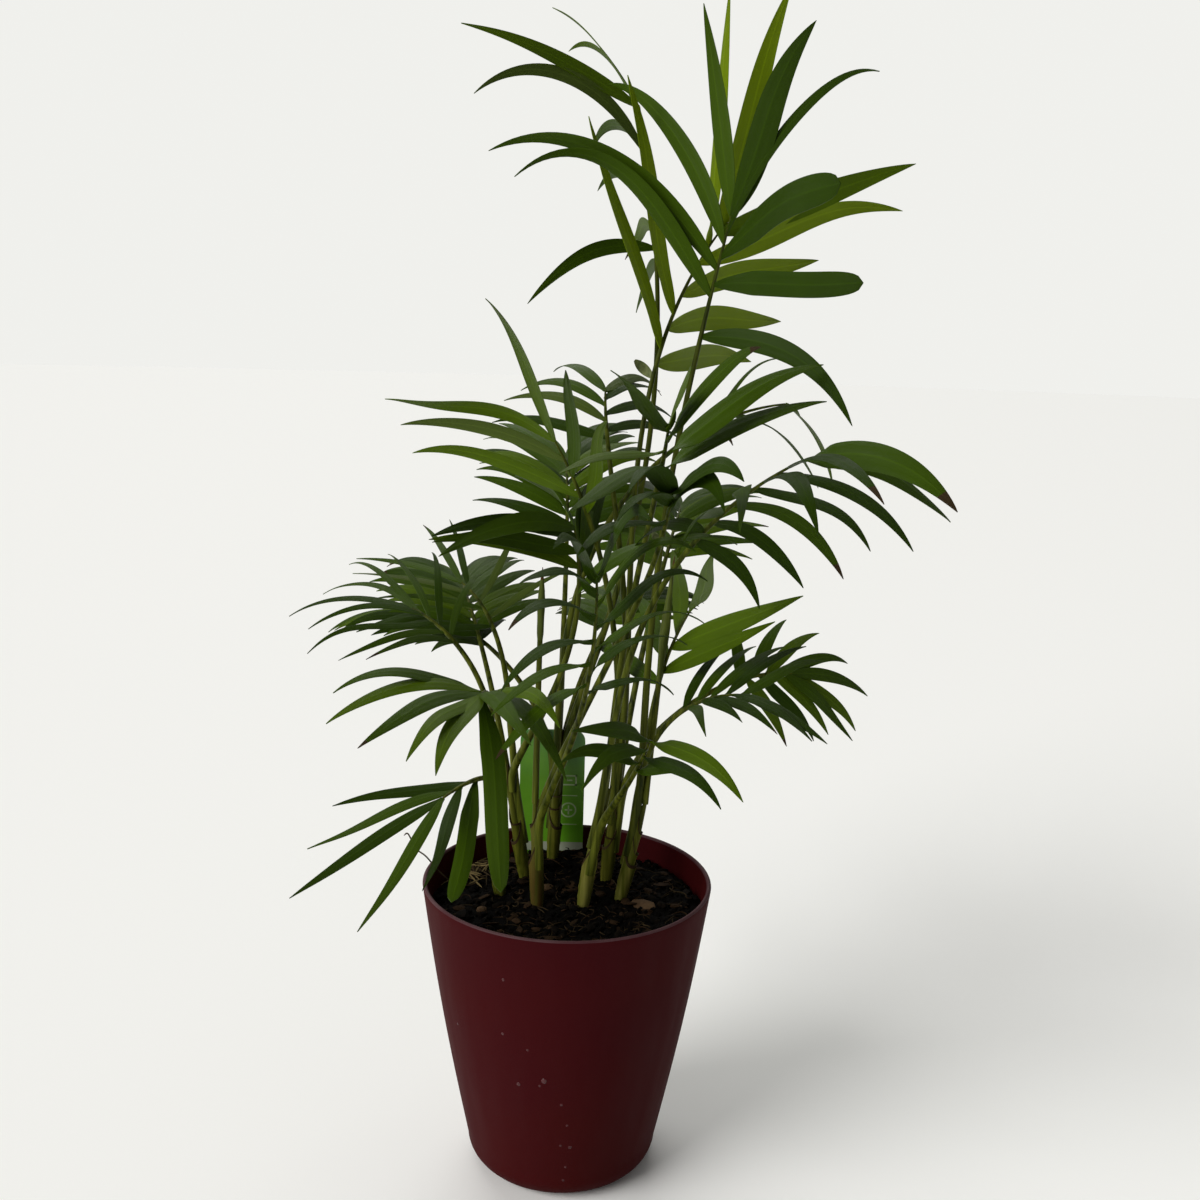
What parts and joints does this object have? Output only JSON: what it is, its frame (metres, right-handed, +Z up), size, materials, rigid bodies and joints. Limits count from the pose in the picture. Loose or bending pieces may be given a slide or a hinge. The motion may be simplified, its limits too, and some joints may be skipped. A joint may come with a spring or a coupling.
{
  "type": "parlour palm",
  "caption": "Young clumping parlour palm with slender canes and arching feathered fronds, growing in soil in a plain round plastic pot with a plant label.",
  "frame": {"origin": "centre of the pot's flat underside, on the pot's axis", "axes": "+Z up along the pot's axis, the longest way; +Y towards the label at the back; +X to the right seen from the front"},
  "size_m": [0.3055, 0.3598, 0.5676],
  "materials": {
    "pot": "satin",
    "soil": "matte",
    "label": "satin",
    "cane": "satin",
    "stalk": "satin",
    "leaf": "satin",
    "young_leaf": "satin"
  },
  "bodies": {
    "root": {"pot": "pot", "soil": "soil", "label": "label", "cane_1": "cane", "cane_2": "cane", "cane_3": "cane", "cane_4": "cane", "cane_5": "cane", "cane_6": "cane", "cane_7": "cane", "stalk_01": "stalk", "stalk_02": "stalk", "stalk_03": "stalk", "stalk_04": "stalk", "stalk_05": "stalk", "stalk_06": "stalk", "stalk_07": "stalk", "stalk_08": "stalk", "stalk_09": "stalk", "stalk_10": "stalk", "stalk_11": "stalk", "stalk_12": "stalk", "stalk_13": "stalk", "stalk_14": "stalk", "stalk_15": "stalk", "stalk_16": "stalk", "stalk_17": "stalk", "stalk_18": "stalk", "stalk_19": "stalk", "stalk_20": "stalk", "stalk_21": "stalk", "stalk_22": "stalk", "stalk_23": "stalk", "stalk_24": "stalk", "frond_01": "leaf", "frond_02": "young_leaf", "frond_03": "leaf", "frond_04": "leaf", "frond_05": "leaf", "frond_06": "leaf", "frond_07": "leaf", "frond_08": "leaf", "frond_09": "leaf", "frond_10": "leaf", "frond_11": "leaf", "frond_12": "leaf", "frond_13": "leaf", "frond_14": "leaf", "frond_15": "leaf", "frond_16": "leaf", "frond_17": "leaf", "frond_18": "leaf", "frond_19": "leaf", "frond_20": "leaf", "frond_21": "leaf", "frond_22": "leaf", "frond_23": "leaf", "frond_24": "leaf"}
  },
  "joints": []
}
